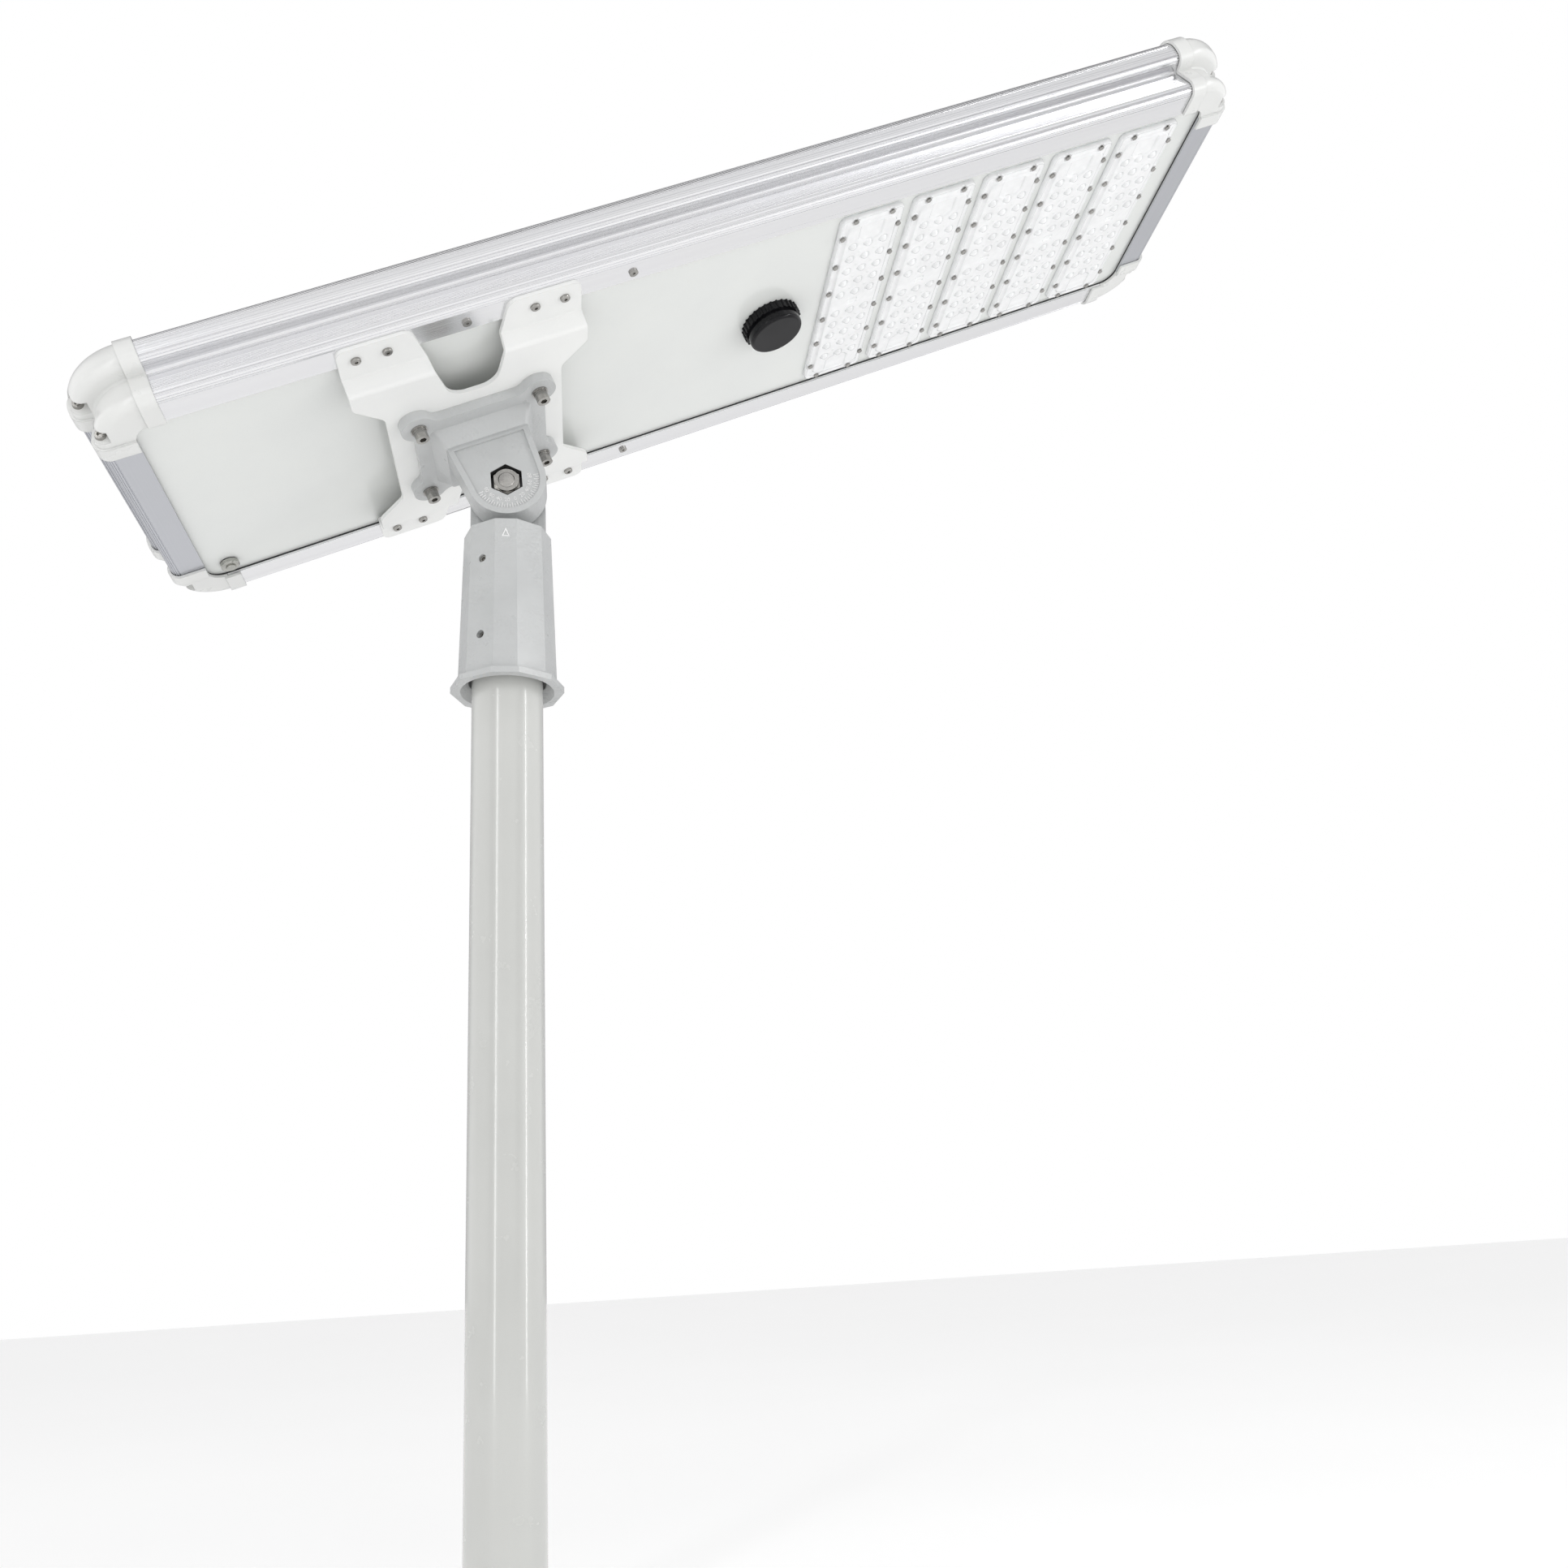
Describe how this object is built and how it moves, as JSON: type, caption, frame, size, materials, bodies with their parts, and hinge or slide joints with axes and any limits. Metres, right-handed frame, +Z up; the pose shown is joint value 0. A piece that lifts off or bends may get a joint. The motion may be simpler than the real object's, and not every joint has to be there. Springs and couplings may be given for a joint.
{
  "type": "solar street lamp",
  "caption": "Pole-top solar street lamp: long flat head with a solar panel above and lens-covered LED modules below, on a tilting knuckle and pole sleeve.",
  "frame": {"origin": "centre of the pole's lower end", "axes": "+Z up the pole, +X towards the LED end of the head, +Y to the side of the head away from the hinge nut"},
  "size_m": [1.1277, 0.3704, 1.468],
  "materials": {
    "pole_paint": "gloss powder coat",
    "cast_paint": "hammered gloss powder coat on casting",
    "bracket_paint": "satin powder coat",
    "cap_paint": "satin powder coat on casting",
    "rail_anodised": "satin clear anodised extrusion",
    "pan_paint": "gloss powder coat",
    "stainless": "bright stainless",
    "gasket_rubber": "matt",
    "panel_glass": "clear low-iron glass",
    "solar_cell": "dark mono cells with silver grid",
    "backsheet_film": "matt white film",
    "black_plastic": "gloss black",
    "lens_optic": "clear moulded optic",
    "led_board": "white solder mask with LEDs",
    "switch_metal": "satin stainless",
    "case_aluminium": "mill finish",
    "cell_wrap": "shrink sleeve",
    "cable_jacket": "matt sheath"
  },
  "bodies": {
    "pole": {"pole_tube": "pole_paint"},
    "sleeve": {"pole_sleeve": "cast_paint", "sleeve_grub_screws": "stainless"},
    "head": {"back_pan": "pan_paint", "battery_case": "case_aluminium", "battery_cells": "cell_wrap", "battery_straps": "stainless", "bracket_screws": "stainless", "cable_battery": "cable_jacket", "cable_led": "cable_jacket", "cable_panel": "cable_jacket", "cable_sensor": "cable_jacket", "cable_switch": "cable_jacket", "charge_controller": "case_aluminium", "corner_cap_front_far": "cap_paint", "corner_cap_front_near": "cap_paint", "corner_cap_rear_far": "cap_paint", "corner_cap_rear_near": "cap_paint", "corner_cap_screws": "stainless", "end_rail_front": "rail_anodised", "end_rail_rear": "rail_anodised", "junction_box": "black_plastic", "knuckle_base": "cast_paint", "knuckle_bolts": "stainless", "knuckle_nuts": "stainless", "knuckle_washers": "stainless", "led_board_1": "led_board", "led_board_2": "led_board", "led_board_3": "led_board", "led_board_4": "led_board", "led_board_5": "led_board", "led_lens_1": "lens_optic", "led_lens_2": "lens_optic", "led_lens_3": "lens_optic", "led_lens_4": "lens_optic", "led_lens_5": "lens_optic", "lens_gaskets": "gasket_rubber", "lens_screws": "stainless", "mounting_bracket": "bracket_paint", "pan_gasket": "gasket_rubber", "pan_screws": "stainless", "panel_gasket": "gasket_rubber", "sensor_body": "black_plastic", "sensor_dome": "black_plastic", "sensor_nut": "black_plastic", "sensor_ring": "black_plastic", "side_rail_far": "rail_anodised", "side_rail_near": "rail_anodised", "solar_backsheet": "backsheet_film", "solar_cells": "solar_cell", "solar_glass": "panel_glass", "switch_body": "switch_metal", "switch_nut": "stainless", "switch_seal": "gasket_rubber", "tilt_bolt": "stainless", "tilt_nut": "stainless", "tilt_washer": "stainless"},
    "button": {"switch_button": "switch_metal"}
  },
  "joints": [
    {"name": "sleeve_swivel", "type": "hinge", "parent": "pole", "child": "sleeve", "pos_m": [0, 0, 0.9], "axis": [0, 0, 1], "continuous": true},
    {"name": "head_tilt", "type": "hinge", "parent": "sleeve", "child": "head", "pos_m": [0, 0, 1], "axis": [0, -1, 0], "range_deg": [-37, 68]},
    {"name": "switch_press", "type": "slide", "parent": "head", "child": "button", "axis": [-0.3746, 0, 0.9272], "range_m": [0, 0.0025], "stiffness_N_per_m": 900, "springref_m": -0.001}
  ]
}
